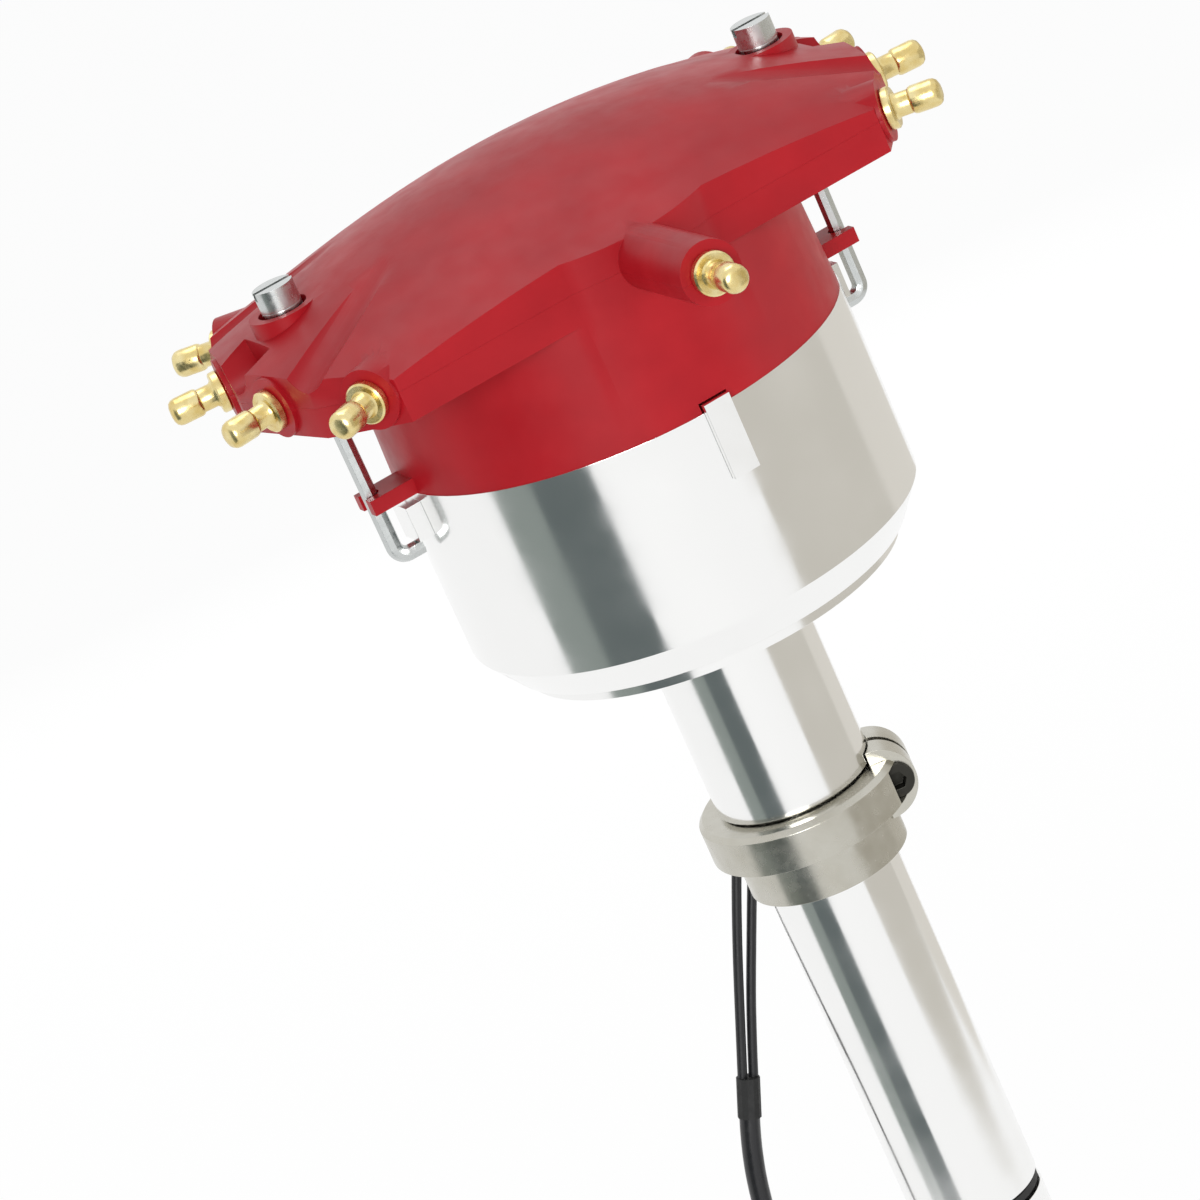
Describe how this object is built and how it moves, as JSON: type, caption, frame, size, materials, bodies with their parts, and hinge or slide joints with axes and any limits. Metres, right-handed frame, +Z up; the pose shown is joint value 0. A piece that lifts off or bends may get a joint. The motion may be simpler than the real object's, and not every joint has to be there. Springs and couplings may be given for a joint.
{
  "type": "ignition distributor",
  "caption": "Ignition distributor with a winged cap, polished bowl and long barrel, slip collar, drive gear, centrifugal advance and magnetic pickup.",
  "frame": {"origin": "centre of the slip collar's seat on the shaft axis, where the engine's distributor bore begins", "axes": "+Z up the shaft to the cap, +X along the right wing of the cap, -Y the way the coil terminal points"},
  "size_m": [0.1832, 0.1516, 0.36],
  "materials": {
    "cap_red": "moulded, glossy",
    "brass": "turned",
    "housing_aluminium": "polished, turned",
    "collar_aluminium": "machined, pale",
    "steel": "ground",
    "dark_steel": "black oxide",
    "zinc_steel": "bright plated",
    "spring_steel": "drawn wire",
    "bronze": "oil-filled",
    "gear_iron": "machined",
    "carbon": "matt",
    "rotor_plastic": "moulded",
    "rubber_black": "matt",
    "lead_black": "satin",
    "connector_black": "moulded",
    "coil_black": "varnished",
    "magnet": "sintered"
  },
  "bodies": {
    "distributor_body": {"brush_spring": "spring_steel", "cap_base": "cap_red", "cap_cover": "cap_red", "coil_strip": "brass", "coil_terminal": "brass", "connector_pins": "brass", "housing": "housing_aluminium", "latch_spring_left": "spring_steel", "latch_spring_right": "spring_steel", "lead_boot": "rubber_black", "lead_connector": "connector_black", "lead_grommet": "rubber_black", "lead_sleeve": "lead_black", "lead_wire_a": "lead_black", "lead_wire_b": "lead_black", "lower_bushing": "bronze", "o_ring": "rubber_black", "pickup_coil": "coil_black", "pickup_core": "steel", "pickup_magnet": "magnet", "pickup_plate": "zinc_steel", "pickup_screws": "zinc_steel", "plug_electrodes": "housing_aluminium", "plug_strips": "brass", "plug_terminal_1": "brass", "plug_terminal_2": "brass", "plug_terminal_3": "brass", "plug_terminal_4": "brass", "plug_terminal_5": "brass", "plug_terminal_6": "brass", "plug_terminal_7": "brass", "plug_terminal_8": "brass", "upper_bearing_outer": "steel", "upper_bearing_seal": "rubber_black"},
    "collar": {"slip_collar": "collar_aluminium", "collar_screw": "dark_steel"},
    "brush": {"carbon_brush": "carbon"},
    "latch_left": {"latch_washer_left": "zinc_steel"},
    "latch_right": {"latch_washer_right": "zinc_steel"},
    "latch_screw_left": {"latch_rod_left": "zinc_steel"},
    "latch_screw_right": {"latch_rod_right": "zinc_steel"},
    "shaft": {"shaft": "steel", "upper_bearing_inner": "steel", "thrust_washer": "bronze", "drive_gear": "gear_iron", "gear_pin": "steel", "advance_cam": "steel"},
    "advance": {"advance_carrier": "steel", "reluctor": "steel", "rotor_body": "rotor_plastic", "rotor_blade": "brass", "rotor_screws": "zinc_steel", "weight_clips": "spring_steel", "advance_spring_a": "spring_steel", "advance_spring_b": "spring_steel"},
    "weight_a": {"advance_weight_a": "zinc_steel"},
    "weight_b": {"advance_weight_b": "zinc_steel"}
  },
  "joints": [
    {"name": "shaft_spin", "type": "hinge", "parent": "distributor_body", "child": "shaft", "pos_m": [0, 0, 0], "axis": [0, 0, -1], "continuous": true},
    {"name": "rotor_advance", "type": "hinge", "parent": "shaft", "child": "advance", "pos_m": [0, 0, 0.11], "axis": [0, 0, -1], "range_deg": [0, 10.5], "stiffness_Nm_per_rad": 0.5, "springref_deg": -2.86},
    {"name": "weight_a_swing", "type": "hinge", "parent": "advance", "child": "weight_a", "pos_m": [0, 0.024, 0.114], "axis": [0, 0, -1], "range_deg": [0, 16.8]},
    {"name": "weight_b_swing", "type": "hinge", "parent": "advance", "child": "weight_b", "pos_m": [0, -0.024, 0.114], "axis": [0, 0, -1], "range_deg": [0, 16.8]},
    {"name": "latch_press_left", "type": "slide", "parent": "distributor_body", "child": "latch_left", "axis": [0, 0, -1], "range_m": [0, 0.003], "stiffness_N_per_m": 3000, "springref_m": -0.002, "deforming": ["latch_spring_left"]},
    {"name": "latch_turn_left", "type": "hinge", "parent": "latch_left", "child": "latch_screw_left", "pos_m": [-0.063, 0, 0.18], "axis": [0, 0, -1], "range_deg": [0, 90]},
    {"name": "latch_press_right", "type": "slide", "parent": "distributor_body", "child": "latch_right", "axis": [0, 0, -1], "range_m": [0, 0.003], "stiffness_N_per_m": 3000, "springref_m": -0.002, "deforming": ["latch_spring_right"]},
    {"name": "latch_turn_right", "type": "hinge", "parent": "latch_right", "child": "latch_screw_right", "pos_m": [0.063, 0, 0.18], "axis": [0, 0, -1], "range_deg": [0, 90]},
    {"name": "brush_press", "type": "slide", "parent": "distributor_body", "child": "brush", "axis": [0, 0, 1], "range_m": [0, 0.002], "stiffness_N_per_m": 500, "springref_m": -0.002, "deforming": ["brush_spring"]},
    {"name": "collar_slide", "type": "slide", "parent": "distributor_body", "child": "collar", "axis": [0, 0, -1], "range_m": [0, 0.025]}
  ],
  "couplings": [
    {"joint": "weight_a_swing", "follows": "rotor_advance", "ratio": 1.6},
    {"joint": "weight_b_swing", "follows": "rotor_advance", "ratio": 1.6}
  ]
}
